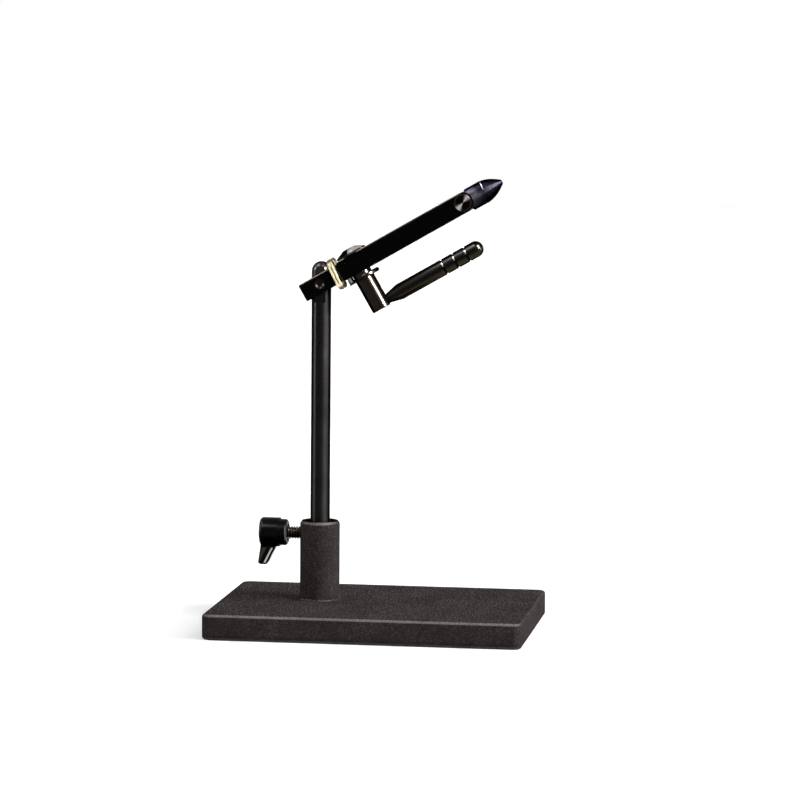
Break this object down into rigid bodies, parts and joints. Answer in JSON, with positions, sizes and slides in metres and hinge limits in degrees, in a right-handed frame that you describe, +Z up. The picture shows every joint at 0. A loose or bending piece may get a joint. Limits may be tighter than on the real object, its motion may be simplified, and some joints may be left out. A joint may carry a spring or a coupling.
{
  "type": "fly tying vise",
  "caption": "Fly tying vise: heavy rectangular base plate, socket tube with thumb screw, upright round stem, and a tilting head whose cam lever opens two spring arms with conical jaws.",
  "frame": {"origin": "on the resting plane, under the middle of the base plate", "axes": "+Z up along the stem; +X along the base's long side, the way the jaws point; +Y away from the person who ties"},
  "size_m": [0.154, 0.112, 0.2195],
  "materials": {
    "textured_powder_coat": "black wrinkle powder coat on steel",
    "black_acetal": "turned black acetal",
    "blackened_screw_steel": "black oxide with a film of oil",
    "moulded_black_plastic": "glossy black moulding",
    "insert_brass": "turned brass",
    "black_oxide_steel": "semi-gloss black oxide on ground rod",
    "satin_black_steel": "deep satin black oxide",
    "bright_steel": "bright turned steel",
    "cream_rubber": "natural rubber",
    "blued_jaw_steel": "hardened, polished and blued tool steel",
    "turned_pin_steel": "lathe faced steel",
    "polished_black_steel": "polished, then blackened",
    "black_anodised_aluminium": "glossy black anodising on a turned handle"
  },
  "bodies": {
    "stand": {"base_plate": "textured_powder_coat", "socket_tube": "textured_powder_coat", "foot_weld": "textured_powder_coat"},
    "bush": {"stem_bush": "black_acetal"},
    "stem": {"stem": "black_oxide_steel"},
    "screw": {"thumb_screw_stud": "blackened_screw_steel"},
    "knob": {"thumb_knob": "moulded_black_plastic", "knob_insert": "insert_brass"},
    "head": {"head_block": "satin_black_steel", "pivot_screw": "blackened_screw_steel", "arm_rivets": "satin_black_steel", "stop_pin": "bright_steel", "rubber_band": "cream_rubber"},
    "near_arm": {"near_arm": "satin_black_steel", "near_jaw": "blued_jaw_steel", "near_jaw_pin": "turned_pin_steel"},
    "far_arm": {"far_arm": "satin_black_steel", "far_jaw": "blued_jaw_steel", "far_jaw_pin": "turned_pin_steel"},
    "lever": {"cam_shaft": "bright_steel", "thrust_washer": "polished_black_steel", "barrel": "polished_black_steel", "cap_nut": "polished_black_steel", "lever_stud": "bright_steel", "lever_handle": "black_anodised_aluminium"}
  },
  "joints": [
    {"name": "stem_swivel", "type": "hinge", "parent": "stand", "child": "bush", "pos_m": [-0.0292, 0.004, 0.03], "axis": [0, 0, 1], "continuous": true},
    {"name": "stem_height", "type": "slide", "parent": "bush", "child": "stem", "axis": [0, 0, 1], "range_m": [0, 0.025]},
    {"name": "thumb_screw_travel", "type": "slide", "parent": "stand", "child": "screw", "axis": [-1, 0, 0], "range_m": [0, 0.0019]},
    {"name": "thumb_screw_turn", "type": "hinge", "parent": "screw", "child": "knob", "pos_m": [-0.05, 0.004, 0.045], "axis": [-1, 0, 0], "range_deg": [0, 540]},
    {"name": "head_tilt", "type": "hinge", "parent": "stem", "child": "head", "pos_m": [-0.0292, 0.004, 0.1676], "axis": [0, -1, 0], "range_deg": [-30, 15]},
    {"name": "lever_swing", "type": "hinge", "parent": "head", "child": "lever", "pos_m": [-0.01197, 0.004, 0.17755], "axis": [0.5, 0, -0.866], "range_deg": [0, 80]},
    {"name": "near_arm_open", "type": "hinge", "parent": "head", "child": "near_arm", "pos_m": [-0.01937, 0.0016, 0.17328], "axis": [0.5, 0, -0.866], "range_deg": [0, 1.2]},
    {"name": "far_arm_open", "type": "hinge", "parent": "head", "child": "far_arm", "pos_m": [-0.01937, 0.0064, 0.17328], "axis": [-0.5, 0, 0.866], "range_deg": [0, 1.2]}
  ],
  "couplings": [
    {"joint": "thumb_screw_turn", "follows": "thumb_screw_travel", "rad_per_m": 4947.4},
    {"joint": "near_arm_open", "follows": "lever_swing", "ratio": 0.015},
    {"joint": "far_arm_open", "follows": "lever_swing", "ratio": 0.015}
  ]
}
